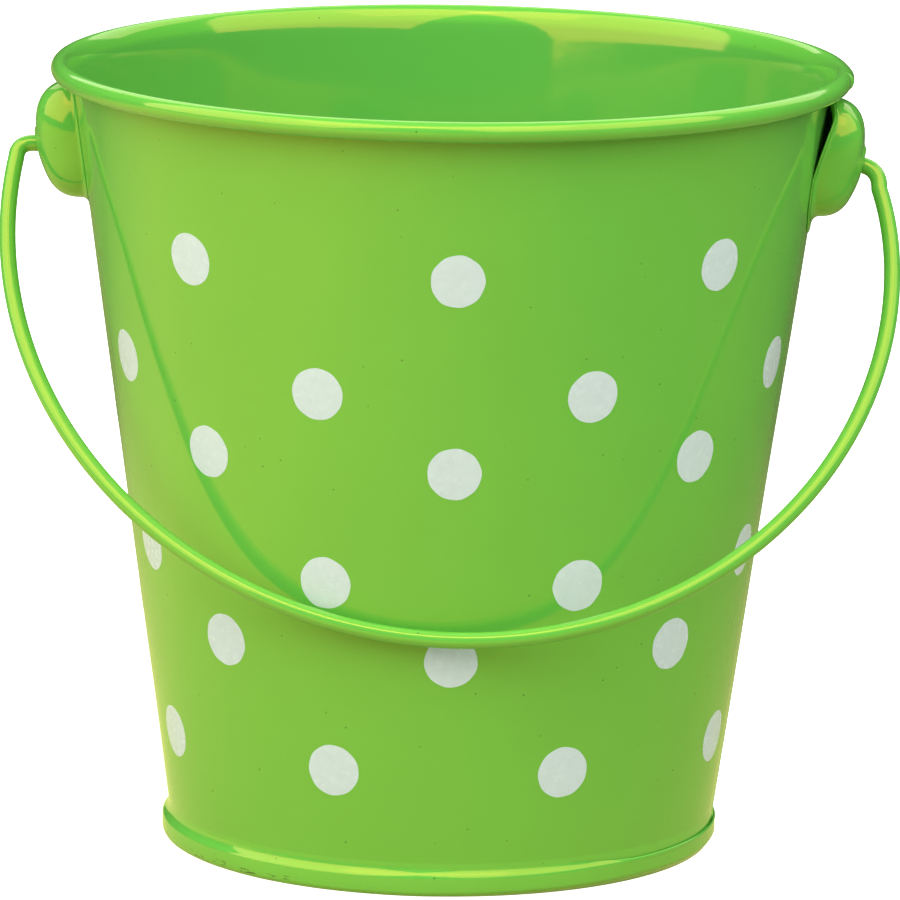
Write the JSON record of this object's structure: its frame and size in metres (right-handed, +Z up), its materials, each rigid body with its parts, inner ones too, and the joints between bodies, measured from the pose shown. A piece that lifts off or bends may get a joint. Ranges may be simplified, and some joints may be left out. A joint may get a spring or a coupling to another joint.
{
  "type": "sand bucket",
  "caption": "Small painted steel pail with a curled rim, pressed ears, a folded foot band and a swinging wire bail, printed with pale dots.",
  "frame": {"origin": "centre of the resting face under the foot band", "axes": "+X towards the right ear, -Y towards the front where the bail hangs, +Z up through the open mouth"},
  "size_m": [0.1642, 0.146, 0.1442],
  "materials": {
    "wall_enamel": "gloss lime green enamel",
    "pan_enamel": "gloss lime green enamel",
    "ear_enamel": "gloss lime green enamel",
    "bail_enamel": "gloss lime green enamel",
    "rim_steel": "bare drawn wire",
    "dot_print": "semi-gloss pale printed ink"
  },
  "bodies": {
    "pail": {"pail_wall": "wall_enamel", "rim_wire": "rim_steel", "bottom_pan": "pan_enamel", "ear_right": "ear_enamel", "ear_left": "ear_enamel"},
    "bail": {"bail_wire": "bail_enamel"}
  },
  "joints": [
    {"name": "bail_swing", "type": "hinge", "parent": "pail", "child": "bail", "pos_m": [0, 0, 0.127], "axis": [-1, 0, 0], "range_deg": [0, 286]}
  ]
}
